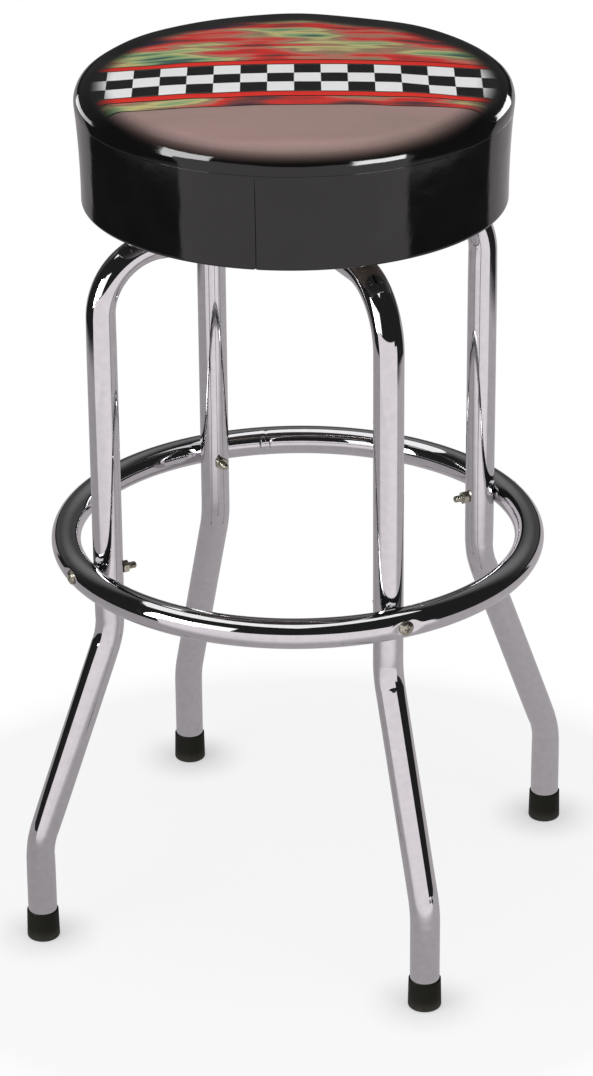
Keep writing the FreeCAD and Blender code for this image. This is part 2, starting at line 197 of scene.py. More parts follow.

# %% [markdown]
# ## The studio floor
# Polished tube is a picture of the room, so the floor does two jobs. The camera sees it as a white sheet
# that keeps a faint shadow, and a painted shadow darkens it round the place of each foot. A mirror sees
# a grey sheet that glows, with a painted pool of light in front of the stool and the dark room past both
# sides. Light Path tells the two kinds of ray apart.

# %% Studio floor
floor_reach = 7.0
floor_shade = 0.19
painted_contact_shadow = 0.35
foot_place = 0.1766
sheet_level = 0.44
sheet_slope = 0.1
painted_pool_level = 0.53
pool_full_at, pool_fade_at = -0.75, -0.32
front_edge = math.radians(60)
dark_reach = 1.42
dark_blend = 0.2
darkness = 0.96
dark_to_left, dark_to_right = math.radians(135), math.radians(122)
edge_blend = 0.03
paper_white = (1.0, 0.945, 0.98, 1)

corners = floor_reach * np.array([[-1, -1, 0], [1, -1, 0], [1, 1, 0], [-1, 1, 0]])
floor, tree = studio_mesh("studio_floor", corners, np.arange(4)[None])
floor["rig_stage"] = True

right, away, up = turned_coordinates(tree, -camera_turn)
reach = calc(tree, "SQRT", calc(tree, "ADD", calc(tree, "POWER", right, 2.0), calc(tree, "POWER", away, 2.0)))
off_front = calc(tree, "ARCTAN2", right, calc(tree, "MULTIPLY", away, -1.0))
# painted pool of light: the glow that mirrors see is raised in a wedge in front of the stool
painted_pool = calc(tree, "SUBTRACT", 1.0, rise(tree, away, pool_full_at, pool_fade_at))
painted_pool = calc(tree, "MULTIPLY", painted_pool, between(tree, off_front, -front_edge, front_edge, edge_blend))
dark = calc(tree, "ADD", between(tree, off_front, -dark_to_left, -front_edge, edge_blend),
            between(tree, off_front, front_edge, dark_to_right, edge_blend))
dark = calc(tree, "MULTIPLY", dark, rise(tree, reach, dark_reach, dark_reach + dark_blend))
sheet = calc(tree, "ADD", sheet_level, calc(tree, "MULTIPLY", rise(tree, right, -0.6, 0.6), sheet_slope))
mirrored = calc(tree, "ADD", sheet, calc(tree, "MULTIPLY", painted_pool, painted_pool_level))
unlit = calc(tree, "SUBTRACT", 1.0, calc(tree, "MULTIPLY", dark, darkness))
mirrored = calc(tree, "MULTIPLY", mirrored, unlit)
mirror_floor = add_node(tree, "Emission", {"Color": paper_white, "Strength": mirrored})
lit_floor = add_node(tree, "BsdfDiffuse", {"Color": (0.88, 0.88, 0.885, 1)})
white_floor = add_node(tree, "Emission", {"Color": (1, 1, 1, 1), "Strength": 1.0})
side, front, up = add_node(tree, "SeparateXYZ", {0: add_node(tree, "TexCoord").outputs["Object"]}).outputs
off_foot = [calc(tree, "SUBTRACT", calc(tree, "ABSOLUTE", along), foot_place) for along in (side, front)]
off_foot = calc(tree, "SQRT", calc(tree, "ADD", *(calc(tree, "POWER", along, 2.0) for along in off_foot)))
# painted contact shadow: round each foot place the white glow gives way to the lit floor, which darkens it
# there
shade = calc(tree, "ADD", floor_shade, calc(tree, "MULTIPLY", painted_contact_shadow,
                                            calc(tree, "SUBTRACT", 1.0, rise(tree, off_foot, 0.01, 0.06))))
whiteness = calc(tree, "MAXIMUM", calc(tree, "SUBTRACT", 1.0, shade), rise(tree, reach, 0.21, 0.45))
seen_floor = add_node(tree, "MixShader", {0: whiteness, 1: lit_floor.outputs[0], 2: white_floor.outputs[0]})
ray = add_node(tree, "LightPath").outputs
shown = add_node(tree, "MixShader", {0: ray["Is Glossy Ray"], 1: seen_floor.outputs[0],
                                     2: mirror_floor.outputs[0]})
add_node(tree, "OutputMaterial", {"Surface": shown.outputs[0]})
print("floor", 2 * floor_reach, "m wide; mirrors see the dark room from", dark_reach, "m out")

# %% [markdown]
# ## A low sheet in front
# The ring and the legs mirror white a little way above the horizon, but the seat's bead, higher up, is black
# there. So a low white sheet stood in front of the stool, and its top was below the seat. It is a strip of a
# cylinder round the stool, which only gloss sees.

# %% Front sheet
stand_reach = 1.35
stand_top = 0.63
stand_right = math.radians(43)
stand_level = 1.05
stand_columns = 49

along = np.linspace(-front_edge, stand_right, stand_columns) + camera_turn
foot = np.stack([stand_reach * np.sin(along), -stand_reach * np.cos(along), np.zeros_like(along)], axis=1)
first = np.arange(stand_columns - 1)
quads = np.stack([first, first + 1, first + stand_columns + 1, first + stand_columns], axis=1)
front_sheet, tree = studio_mesh("front_sheet", np.concatenate([foot, foot + [0, 0, stand_top]]), quads)
front_sheet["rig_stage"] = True
front_sheet.visible_camera = front_sheet.visible_diffuse = front_sheet.visible_shadow = False
paper = add_node(tree, "Emission", {"Color": paper_white, "Strength": stand_level})
add_node(tree, "OutputMaterial", {"Surface": paper.outputs[0]})
print("front sheet", stand_top, "m high,", stand_reach, "m out")

# %% [markdown]
# ## Room and lamps
# The room is white to the camera and a soft grey fill to matt surfaces. A mirror sees it as dark, except
# for a deep grey backdrop. Three soft boxes light the matt surfaces: one overhead, one tall box on each side
# of the camera. A white surface renders just white under them. Gloss sees a dim lamp overhead and small
# bright ones level with the seat, which draw its bead's strips. Three of those are linked to the vinyl alone,
# as mirror chrome would show them as hard white spots, and one that shines on the ring to the chrome alone.

# %% Room and lamps
room = bpy.data.worlds.new("studio_room")
scene.world = room
room.use_nodes = True
tree = room.node_tree
tree.nodes.clear()
direction = add_node(tree, "TexCoord").outputs["Generated"]
turned = add_node(tree, "Mapping", {"Vector": direction, "Rotation": (0, 0, -camera_turn)}).outputs[0]
away, up = add_node(tree, "SeparateXYZ", {0: turned}).outputs[1:]
backdrop = calc(tree, "ADD", calc(tree, "MULTIPLY", rise(tree, up, 0.02, 0.1), 0.06),
                calc(tree, "MULTIPLY", rise(tree, up, 0.3, 0.6), 0.15))
dark_room = calc(tree, "ADD", 0.02, calc(tree, "MULTIPLY", rise(tree, away, 0.3, 0.8), backdrop))
fill = add_node(tree, "Background", {"Color": (0.97, 0.98, 1, 1), "Strength": 0.42})
mirror_room = add_node(tree, "Background", {"Color": (1, 0.985, 1, 1), "Strength": dark_room})
white_room = add_node(tree, "Background", {"Color": (1, 1, 1, 1), "Strength": 1.0})
ray = add_node(tree, "LightPath").outputs
room_light = add_node(tree, "MixShader", {0: ray["Is Glossy Ray"], 1: fill.outputs[0],
                                          2: mirror_room.outputs[0]})
room_seen = add_node(tree, "MixShader", {0: ray["Is Camera Ray"], 1: room_light.outputs[0],
                                         2: white_room.outputs[0]})
add_node(tree, "OutputWorld", {"Surface": room_seen.outputs[0]})


vinyl_pieces = bpy.data.collections.new("vinyl_pieces")
chrome_pieces = bpy.data.collections.new("chrome_pieces")
gloss_groups = {"printed_vinyl": vinyl_pieces, "black_vinyl": vinyl_pieces, "chrome": chrome_pieces}


def soft_box(name, place, width, height, level, in_gloss=False, lights=None):
    """A rectangular lamp that faces the seat and has this brightness over its whole face: its power is the
    brightness times pi times its area. It is seen either in gloss or by matt surfaces, of all pieces or of
    one collection's."""
    lamp = bpy.data.lights.new(name, "AREA")
    lamp.shape = "RECTANGLE"
    lamp.size = width
    lamp.size_y = height
    lamp.energy = level * math.pi * width * height
    box = bpy.data.objects.new(name, lamp)
    scene.collection.objects.link(box)
    facing = (Vector((0, 0, 0.74)) - place).to_track_quat("-Z", "Y").to_matrix().to_4x4()
    box.matrix_world = Matrix.Translation(place) @ facing
    box.visible_camera = False
    box.visible_diffuse = not in_gloss
    box.visible_glossy = in_gloss
    box.light_linking.receiver_collection = lights


soft_box("overhead_box", in_studio(-0.1, -0.5, 2.7), 1.9, 1.5, 2.3)
soft_box("left_box", in_studio(-1.75, -1.30, 1.28), 1.35, 1.7, 1.7)
soft_box("right_box", in_studio(1.48, -1.58, 0.95), 1.0, 1.6, 1.9)
soft_box("overhead_gleam", in_studio(-0.25, 0.2, 2.6), 2.1, 2.4, 1.3, in_gloss=True)
soft_box("left_gleam", in_studio(-1.23, -0.86, 0.85), 0.68, 0.8, 13, in_gloss=True)
soft_box("front_left_gleam", in_studio(-0.92, -1.18, 1.02), 0.5, 0.7, 1.8, True, chrome_pieces)
soft_box("right_gleam", in_studio(0.66, -0.79, 0.69), 0.46, 0.32, 20, True, vinyl_pieces)
soft_box("far_left_gleam", in_studio(-0.84, 0.71, 0.66), 0.55, 0.2, 3, True, vinyl_pieces)
soft_box("far_right_gleam", in_studio(0.68, 0.47, 0.74), 0.36, 0.2, 8, True, vinyl_pieces)
print("three soft boxes, six gleams and a grey room")

# %% [markdown]
# ## From a grid of points to a piece
# All new pieces are grids: rows along a shape, columns around it. The quads between neighbouring points
# come from one array of corner numbers, and a pole is closed by a fan of triangles. A mirror finish shows
# every flipped face, so the signed volume decides which way round the corners go.

# %% Grid helpers
mm = 0.001


def grid_quads(rows, columns, loop_rows=False):
    """Corner numbers of the quads of a grid whose columns close into a ring, and its rows too if asked."""
    number = np.arange(rows * columns).reshape(rows, columns)
    number = np.concatenate([number, number[:, :1]], axis=1)
    if loop_rows:
        number = np.concatenate([number, number[:1]], axis=0)
    corners = [number[:-1, :-1], number[:-1, 1:], number[1:, 1:], number[1:, :-1]]
    return np.stack(corners, axis=-1).reshape(-1, 4)


def pole_fan(pole, ring):
    """Triangles from a pole to each side of the closed ring of points round it."""
    return np.stack([np.full_like(ring, pole), ring, np.roll(ring, -1)], axis=1)


def closed_grid(grid, loop_rows=False):
    """Points and face arrays of a closed surface: a looped grid, or one with a middle point at each end."""
    rows, columns = grid.shape[:2]
    points = grid.reshape(-1, 3)
    quads = grid_quads(rows, columns, loop_rows)
    if loop_rows:
        return points, [quads]
    count = rows * columns
    points = np.concatenate([points, grid[:1].mean(axis=1), grid[-1:].mean(axis=1)])
    first_fan = pole_fan(count, np.arange(columns)[::-1])
    last_fan = pole_fan(count + 1, np.arange(count - columns, count))
    return points, [quads, first_fan, last_fan]


def signed_volume(points, faces):
    """The volume inside the faces, as corner triple products over six; negative if they face inwards."""
    total = 0.0
    for group in faces:
        for step in range(1, group.shape[1] - 1):
            a, b, c = points[group[:, 0]], points[group[:, step]], points[group[:, step + 1]]
            total += np.einsum("ij,ij->", a, np.cross(b, c)) / 6
    return total


def joined(shells):
    """Several shells of points and face arrays, numbered as one."""
    offsets = np.cumsum([0] + [len(points) for points, faces in shells])
    points = np.concatenate([points for points, faces in shells])
    faces = [group + offset for (_, groups), offset in zip(shells, offsets) for group in groups]
    return points, faces


def add_piece(name, points, faces, body, slot):
    """A smooth mesh object at the origin, turned outwards, that rides on a body and takes a slot's finish."""
    if signed_volume(points, faces) < 0:
        faces = [group[:, ::-1] for group in faces]
    mesh = bpy.data.meshes.new(name)
    mesh.from_pydata(points.tolist(), [], [corner for group in faces for corner in group.tolist()])
    mesh.polygons.foreach_set("use_smooth", np.ones(len(mesh.polygons), dtype=bool))
    piece = bpy.data.objects.new(name, mesh)
    scene.collection.objects.link(piece)
    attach(piece, body)
    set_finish(piece, slot)
    print(name, len(points), "points", round(abs(signed_volume(points, faces)) * 1e6, 1), "cm3")
    return piece


# %% [markdown]
# ## The leg frames
# Each frame is one chromed tube: a foot, a splayed leg, an upright, the top run, and the same again on
# the other side. A bevelled curve would give the tube, but not its small faults. Here a circle is carried
# along the centre line as an array, so it can turn slightly oval in each bend, as drawn tube does, and
# be pressed to half its height where the two frames cross.

# %% Centre line of a bent tube
tip_low, tip_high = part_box("foot_tip_back_right")
run_low, run_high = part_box("leg_frame_upper")
tube_radius = 12.7 * mm
foot_radius = math.hypot(tip_low.x + tip_high.x, tip_low.y + tip_high.y) / 2
foot_end = run_low.z
top_run = run_high.z - tube_radius
leg_radius = 178 * mm
foot_bend_height = 92.8 * mm
splay_bend_height = 283.5 * mm
splay_bend_radius = 72 * mm
top_bend_radius = 55 * mm
run_step = 6 * mm
bend_steps = 34


def unit(vector):
    """A vector shortened to length one."""
    return vector / np.linalg.norm(vector)


def bent_route(corners, radii):
    """Straight runs joined by arcs: at each corner the arc touches both runs at radius over the tangent of
    half the corner's angle. Returns the points, and 1 on an arc and 0 on a run for each of them."""
    parts, bent = [], []
    here = corners[0]
    for before, corner, after, radius in zip(corners, corners[1:], corners[2:], radii):
        back, ahead = unit(before - corner), unit(after - corner)
        half = math.acos(back @ ahead) / 2
        start, end = corner + back * radius / math.tan(half), corner + ahead * radius / math.tan(half)
        centre = corner + unit(back + ahead) * radius / math.sin(half)
        first = math.atan2(*(start - centre)[::-1])
        sweep = (math.atan2(*(end - centre)[::-1]) - first + math.pi) % (2 * math.pi) - math.pi
        angle = first + sweep * np.linspace(0, 1, bend_steps)
        count = max(2, round(np.linalg.norm(start - here) / run_step))
        parts += [here + (start - here) * np.linspace(0, 1, count, endpoint=False)[:, None],
                  centre + radius * np.stack([np.cos(angle), np.sin(angle)], axis=1)[:-1]]
        bent += [np.zeros(count), np.ones(bend_steps - 1)]
        here = end
    count = round(np.linalg.norm(corners[-1] - here) / run_step)
    parts.append(here + (corners[-1] - here) * np.linspace(0, 1, count)[:, None])
    bent.append(np.zeros(count))
    return np.concatenate(parts), np.concatenate(bent)


half_frame = np.array([[foot_radius, foot_end], [foot_radius, foot_bend_height],
                       [leg_radius, splay_bend_height], [leg_radius, top_run]])
corners = np.concatenate([half_frame, half_frame[::-1] * [-1, 1]])
bends = [splay_bend_radius, splay_bend_radius, top_bend_radius]
route, bent = bent_route(corners, bends + bends[::-1])
route_length = np.linalg.norm(np.diff(route, axis=0), axis=1).sum()
print("frame route", len(route), "points,", round(route_length, 3), "m")

# %% [markdown]
# The section is a circle in the plane across the route. In a bend it loses a little height in the plane
# of the bend and gains a little width. At the crossing each tube is held under a limit that is flat in
# the middle and ramps away on both sides, and a soft minimum rounds the edges of the pressing.

# %% Leg frames
tube_columns = 64
bend_flattening = 0.045
bend_widening = 0.015
crossing_flat = 13.1 * mm
crossing_slope = 1.417
crossing_gap = 0.1 * mm
crossing_rounding = 0.9 * mm
crossing_reach = 40 * mm


def soft_min(first, second, rounding):
    """The smaller of two values, with the corner between them rounded off over this much."""
    share = np.clip(0.5 + 0.5 * (second - first) / rounding, 0, 1)
    return second + (first - second) * share - rounding * share * (1 - share)


def leg_frame(angle, side):
    """Points of one frame: route + radius * (cos * in-plane normal + sin * side direction), with the two
    radii changed in the bends, then the pressing, then a turn about the upright axis."""
    along = np.gradient(route, axis=0)
    along /= np.linalg.norm(along, axis=1, keepdims=True)
    window = np.hanning(15)
    ease = np.convolve(np.pad(bent, 7, mode="edge"), window / window.sum(), mode="valid")[:, None]
    around = np.linspace(0, 2 * np.pi, tube_columns, endpoint=False)[None, :]
    inward = tube_radius * (1 - bend_flattening * ease) * np.cos(around)
    across = tube_radius * (1 + bend_widening * ease) * np.sin(around)
    x = route[:, :1] - along[:, 1:] * inward
    z = route[:, 1:] + along[:, :1] * inward
    limit = crossing_slope * np.maximum(np.abs(x) - crossing_flat, 0) - crossing_gap
    pressed = top_run + side * soft_min(side * (z - top_run), limit, crossing_rounding)
    z = np.where(np.abs(x) < crossing_reach, pressed, z)
    x, y = x * math.cos(angle) - across * math.sin(angle), x * math.sin(angle) + across * math.cos(angle)
    return np.stack([x, y, z], axis=-1)


for node, degrees, side in (("leg_frame_lower", 45, 1), ("leg_frame_upper", 135, -1)):
    tube = add_piece(node + "_tube", *closed_grid(leg_frame(math.radians(degrees), side)), "frame", "chrome")
    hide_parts(node)

# %% [markdown]
# ## The foot ring
# The ring is a closed tube outside the legs. Each leg sits in a seat pressed into its inner side, and
# each screw head in a dimple pressed into its outer side. Booleans would leave hard edges, but pressed
# steel has soft ones. So every point is seen from its nearest leg, as a distance along the screw and one
# across it, and soft limits push it in: a shallow cone from outside, the leg's own cylinder from inside.

# %% Foot ring
ring_low, ring_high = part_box("foot_ring")
ring_tube = (ring_high.z - ring_low.z) / 2
ring_middle = (ring_high.z + ring_low.z) / 2
ring_radius = ring_high.x - ring_tube
ring_rows = 900
ring_columns = 56
dimple_depth = 1.9 * mm
dimple_floor = 7 * mm
dimple_mouth = 16 * mm
dimple_rounding = 0.8 * mm
seat_rounding = 0.7 * mm
weld_angle = math.radians(119)
weld_height = 0.45 * mm
weld_half_width = 1.7 * mm
quarter = math.pi / 2


def foot_ring():
    """A torus, R + r cos outwards and r sin up, pressed at each leg, with a low weld bead on its inside."""
    turn = np.linspace(0, 2 * np.pi, ring_rows, endpoint=False)[:, None]
    around = np.linspace(0, 2 * np.pi, ring_columns, endpoint=False)[None, :]
    weld = weld_height * np.exp(-((turn - weld_angle) * ring_radius / weld_half_width) ** 2)
    tube = ring_tube + weld * np.clip(-np.cos(around), 0, 1)
    reach = ring_radius + tube * np.cos(around)
    rise_up = tube * np.sin(around)
    leg = (np.floor(turn / quarter) + 0.5) * quarter
    along, across = reach * np.cos(turn - leg), reach * np.sin(turn - leg)
    off_screw = np.hypot(across, rise_up)
    slope = dimple_depth / (dimple_mouth - dimple_floor)
    cone = ring_radius + ring_tube - dimple_depth + slope * np.maximum(off_screw - dimple_floor, 0)
    along = soft_min(along, cone, dimple_rounding)
    seat = leg_radius + np.sqrt(np.maximum(tube_radius ** 2 - across ** 2, 0))
    pressed = -soft_min(-along, -seat, seat_rounding)
    along = np.where(np.abs(across) < tube_radius, np.maximum(pressed, along), along)
    turn, reach = leg + np.arctan2(across, along), np.hypot(along, across)
    return np.stack([reach * np.cos(turn), reach * np.sin(turn), ring_middle + rise_up], axis=-1)


ring = add_piece("foot_ring_tube", *closed_grid(foot_ring(), loop_rows=True), "frame", "chrome")
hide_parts("foot_ring")

# %% [markdown]
# ## The ring's screws
# Four screws go through ring and leg, with a pan head outside and a bare threaded end past the nut. The
# solids leave the thread plain. Each screw here is one profile carried round its axis: the dome drops into
# a cross recess, and the radius of the tail follows a helix, one turn of thread for each pitch.

# %% Ring screws
screw_columns = 72
screw_radius = 3 * mm
head_radius = 6.3 * mm
head_height = 3.6 * mm
head_rim = 1.3 * mm
rim_rounding = 0.35 * mm
recess_half_length = 2.7 * mm
recess_half_width = 0.66 * mm
recess_depth = 1.8 * mm
recess_slope = 0.16 * mm
thread_pitch = 1.0 * mm
thread_depth = 0.5 * mm
thread_length = 12 * mm
screw_seat = ring_radius + ring_tube - dimple_depth
screw_end = leg_radius - tube_radius - 12.4 * mm


def recess(x, y):
    """How far the cross goes down at a place on the head: two crossed slots with sloping walls."""
    wall = lambda offset: np.clip(0.5 - offset / recess_slope, 0, 1)
    slot = lambda a, b: np.minimum(wall(np.abs(a) - recess_half_length), wall(np.abs(b) - recess_half_width))
    return recess_depth * np.maximum(slot(x, y), slot(y, x))


def ring_screw():
    """Rows from the middle of the head to the end of the tail, each a radius and a height on the axis."""
    ball = (head_radius ** 2 + (head_height - head_rim) ** 2) / (2 * (head_height - head_rim))
    top = np.linspace(0.02, 1, 46) * (head_radius - rim_rounding)
    dome = head_height - ball + np.sqrt(ball ** 2 - top ** 2)
    corner = np.radians(np.linspace(60, 0, 5))
    rim = head_radius - rim_rounding + rim_rounding * np.cos(corner)
    rim_height = head_rim - rim_rounding * 0.4 + rim_rounding * np.sin(corner)
    length = screw_seat - screw_end
    tail = np.linspace(length - thread_length, length, 100)
    radius = np.concatenate([top, rim, [head_radius, screw_radius, screw_radius], np.full(100, screw_radius)])
    height = np.concatenate([dome, rim_height, [0, 0, -length + thread_length + 0.2 * mm], -tail])
    around = np.linspace(0, 2 * np.pi, screw_columns, endpoint=False)[None, :]
    radius, height = radius[:, None] + 0 * around, height[:, None] + 0 * around
    turns = (-height / thread_pitch - around / (2 * np.pi)) % 1
    groove = np.clip(1.25 * (1 - np.abs(2 * turns - 1)) - 0.12, 0, 1)
    chamfer = np.clip((length + height) / (0.9 * mm), 0, 1)
    threaded = radius - thread_depth * groove - (1 - chamfer) * 0.7 * mm
    is_tail = np.arange(len(radius))[:, None] >= len(radius) - 100
    radius = np.where(is_tail, threaded, radius)
    is_top = np.arange(len(radius))[:, None] < 46
    across, upward = radius * np.cos(around), radius * np.sin(around)
    height = np.where(is_top, height - recess(across, upward), height)
    return height, across, upward


def around_legs(height, across, upward):
    """Four copies of a screw's points, laid outwards through each leg at the ring's height."""
    shells = []
    for angle in quarter * (np.arange(4) + 0.5):
        out = screw_seat + height
        spot = np.stack([out * np.cos(angle) - across * np.sin(angle),
                         out * np.sin(angle) + across * np.cos(angle), ring_middle + upward], axis=-1)
        shells.append(closed_grid(spot))
    return joined(shells)


screws = add_piece("ring_screws_threaded", *around_legs(*ring_screw()), "frame", "zinc_fastener")
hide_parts("ring_screws")

# %% [markdown]
# ## The seat's profile
# The seat is a foam block under a skin of glossy vinyl: a slightly crowned top, a rolled bead, a side band
# that leans in from the bead in a long hollow, and a crisp foot with the hem turned under the board. The
# profile is drawn as arcs in radius and height, in thin steps, and blurred where the bead meets the band,
# because a sheet over foam cannot fold there as sharply as a drawing does.

# %% Seat profile
panel_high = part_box("seat_top_cover")[1]
board_low, board_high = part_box("seat_board")
seat_radius = panel_high.x
crown_height = panel_high.z
cover_thickness = 1.2 * mm
crown_rise = 6 * mm
bead_radius = 19 * mm
seam_angle = 18
band_hollow = 0.95 * mm
base_draw_in = 3.4 * mm
foot_edge = 2.5 * mm
hem_width = 26 * mm
profile_step = 0.25 * mm
neck_blur = 4 * mm
neck_reach = 9 * mm
neck_drop = 3 * mm

bead_circle = seat_radius - bead_radius
bead_height = crown_height - crown_rise - bead_radius
base_radius = bead_circle + bead_radius * math.cos(math.radians(seam_angle)) - base_draw_in
base_bottom = board_low.z - cover_thickness
crown_radius = (bead_circle ** 2 + crown_rise ** 2) / (2 * crown_rise) + bead_radius


def arc(centre, radius, first, last):
    """Points on a circle in radius and height, from one angle to another, counted up from level."""
    first, last = math.radians(first), math.radians(last)
    angle = np.linspace(first, last, max(3, round(abs(last - first) * radius / profile_step)))
    return np.stack([centre[0] + radius * np.cos(angle), centre[1] + radius * np.sin(angle)], axis=1)


def run_to(start, end, hollow=0.0):
    """Points on a straight run that is drawn inwards by 4 s (1 - s) times the hollow."""
    share = np.linspace(0, 1, max(3, round(np.linalg.norm(end - start) / profile_step)))[:, None]
    return start + (end - start) * share - np.array([hollow, 0]) * 4 * share * (1 - share)


crown_edge = 90 - math.degrees(math.asin(bead_circle / (crown_radius - bead_radius)))
crown = arc((0, crown_height - crown_radius), crown_radius, 90, crown_edge)
bead = arc((bead_circle, bead_height), bead_radius, crown_edge, -seam_angle)
foot = arc((base_radius - foot_edge, base_bottom + foot_edge), foot_edge, 0, -90)
band = run_to(bead[-1], foot[0], band_hollow)
hem = run_to(foot[-1], foot[-1] - np.array([hem_width, 0]))
drawn = np.concatenate([crown, bead[1:], band[1:], foot[1:], hem[1:]])
drawn_length = np.concatenate([[0], np.cumsum(np.linalg.norm(np.diff(drawn, axis=0), axis=1))])
skin_length = np.arange(0, drawn_length[-1], profile_step)
skin = np.stack([np.interp(skin_length, drawn_length, drawn[:, i]) for i in (0, 1)], axis=1)
seam_at = drawn_length[len(crown) + len(bead) - 2]
foot_at = drawn_length[len(crown) + len(bead) + len(band) - 3]

kernel_reach = round(4 * neck_blur / profile_step)
kernel = np.exp(-0.5 * (np.arange(-kernel_reach, kernel_reach + 1) * profile_step / neck_blur) ** 2)
blurred = np.stack([np.convolve(np.pad(skin[:, i], kernel_reach, mode="edge"), kernel / kernel.sum(), "valid")
                    for i in (0, 1)], axis=1)
near_seam = np.exp(-0.5 * ((skin_length - seam_at - neck_drop) / neck_reach) ** 4)[:, None]
skin = skin + (blurred - skin) * near_seam
slope_along = np.gradient(skin, axis=0)
skin_out = np.stack([-slope_along[:, 1], slope_along[:, 0]], axis=1)
skin_out /= np.linalg.norm(skin_out, axis=1, keepdims=True)
print("skin", round(skin_length[-1] * 1000), "mm from the middle to the hem, seam at",
      round(seam_at * 1000), "mm")

# %% [markdown]
# ## Swelling the cushion
# Padded vinyl gets its shape from foam that pushes out while the hem is held, so the cushion is simulated.
# A slightly smaller body goes into a voxel remesh, and cloth with pressure swells it for twenty frames with
# everything on the board pinned. The swollen body is uneven at the scale of its voxels, and gloss would show
# that. So a polar grid is shrunk onto it and only broad waves are kept. The drawn profile already has the mean
# swelling, so only a small share of the crown's mean stays, beside the unevenness that makes it look stuffed.

# %% Simulated swelling
sim_inset = 1.5 * mm
swell_cap = 2.2 * mm
mean_share = 0.1
unevenness = 0.7
swell_rows = 70
swell_columns = 96
voxel = 5 * mm
board_hold = 16 * mm
sim_frames = 20
sim_waves = 14


def revolved(radius, height, columns):
    """Rings of points about the upright axis, one row for each radius and height."""
    turn = np.linspace(0, 2 * np.pi, columns, endpoint=False)
    return np.stack([radius[:, None] * np.cos(turn), radius[:, None] * np.sin(turn),
                     height[:, None] + 0 * turn], axis=-1)


def evaluated_mesh(thing):
    """A copy of an object's mesh with its modifiers worked out."""
    graph = bpy.context.evaluated_depsgraph_get()
    return bpy.data.meshes.new_from_object(thing.evaluated_get(graph), depsgraph=graph)


def mesh_points(mesh):
    """All points of a mesh as rows of an array."""
    flat = np.empty(len(mesh.vertices) * 3)
    mesh.vertices.foreach_get("co", flat)
    return flat.reshape(-1, 3)


def scratch_object(name, points, faces):
    """A mesh object for working with, to be removed afterwards."""
    mesh = bpy.data.meshes.new(name)
    mesh.from_pydata(points.tolist(), [], [corner for group in faces for corner in group.tolist()])
    thing = bpy.data.objects.new(name, mesh)
    scene.collection.objects.link(thing)
    return thing


def swollen_body(start):
    """The start shape after voxel remesh, cloth pressure and one subdivision, with the board's part pinned."""
    remesh = start.modifiers.new("voxels", "REMESH")
    remesh.mode = "VOXEL"
    remesh.voxel_size = voxel
    body = bpy.data.objects.new("swollen_body", evaluated_mesh(start))
    scene.collection.objects.link(body)
    height = mesh_points(body.data)[:, 2]
    level = np.round(10 * np.clip((board_high.z + board_hold - height) / board_hold, 0, 1)).astype(int)
    pins = body.vertex_groups.new(name="held_by_board")
    for step in range(1, 11):
        pins.add(np.flatnonzero(level == step).tolist(), step / 10, "REPLACE")
    cloth = body.modifiers.new("vinyl", "CLOTH")
    cloth.settings.quality = 6
    cloth.settings.tension_stiffness = 40
    cloth.settings.compression_stiffness = 40
    cloth.settings.shear_stiffness = 25
    cloth.settings.bending_stiffness = 8
    cloth.settings.use_pressure = True
    cloth.settings.uniform_pressure_force = 4
    cloth.settings.vertex_group_mass = pins.name
    cloth.settings.effector_weights.gravity = 0
    cloth.point_cache.frame_start = 1
    cloth.point_cache.frame_end = sim_frames
    for moment in range(1, sim_frames + 1):
        scene.frame_set(moment)
    smooth = body.modifiers.new("smooth", "SUBSURF")
    smooth.levels = smooth.render_levels = 1
    result = bpy.data.objects.new("swollen", evaluated_mesh(body))
    scene.collection.objects.link(result)
    scene.frame_set(1)
    bpy.data.objects.remove(body)
    return result


def swelling():
    """How far the skin stands out of its drawn profile after the simulation, for each row and column."""
    free = np.clip((skin[:, 1:] - board_high.z) / board_hold, 0, 1)
    free = free * free * (3 - 2 * free)
    inset = (skin - sim_inset * free * skin_out)[8::12]
    start = scratch_object("sim_start", *closed_grid(revolved(*inset.T, 96)))
    body = swollen_body(start)
    rows = np.linspace(10 * mm, skin_length[-1], swell_rows)
    row = np.round(rows / profile_step).clip(0, len(skin) - 1).astype(int)
    grid = revolved(*skin[row].T, swell_columns)
    probe = scratch_object("sim_probe", *closed_grid(grid))
    wrap = probe.modifiers.new("wrap", "SHRINKWRAP")
    wrap.target = body
    moved = mesh_points(evaluated_mesh(probe))[:grid.size // 3].reshape(grid.shape) - grid
    turn = np.linspace(0, 2 * np.pi, swell_columns, endpoint=False)
    outwards = skin_out[row]
    stand = (moved[..., 0] * np.cos(turn) + moved[..., 1] * np.sin(turn)) * outwards[:, :1]
    stand = stand + moved[..., 2] * outwards[:, 1:]
    for scratch in (start, body, probe):
        bpy.data.objects.remove(scratch)
    stand = stand * free[row]
    mean = stand.mean(axis=1, keepdims=True)
    stand = mean_share * np.maximum(mean, 0) + unevenness * (stand - mean)
    print("swelling", round(stand.min() * 1000, 2), "to", round(stand.max() * 1000, 2), "mm")
    return rows, swell_cap * np.tanh(stand / swell_cap)


swell_at, swell = swelling()
swell_waves = np.fft.rfft(swell, axis=1)[:, :sim_waves] / swell_columns
swell_waves[:, 1:] *= 2
print("kept", sim_waves, "waves round the seat")

# %% [markdown]
# ## The cover
# The cover is two pieces of vinyl, the printed top panel and the black side band, welded under the bead,
# with one upright seam in the band. Each is a closed skin: the outer surface, a turned edge and an inner
# surface one thickness behind it. Columns crowd round the upright seam so that its groove is real geometry.
# Under the board the hem is gathered between its staples. One subdivision finishes the skin.

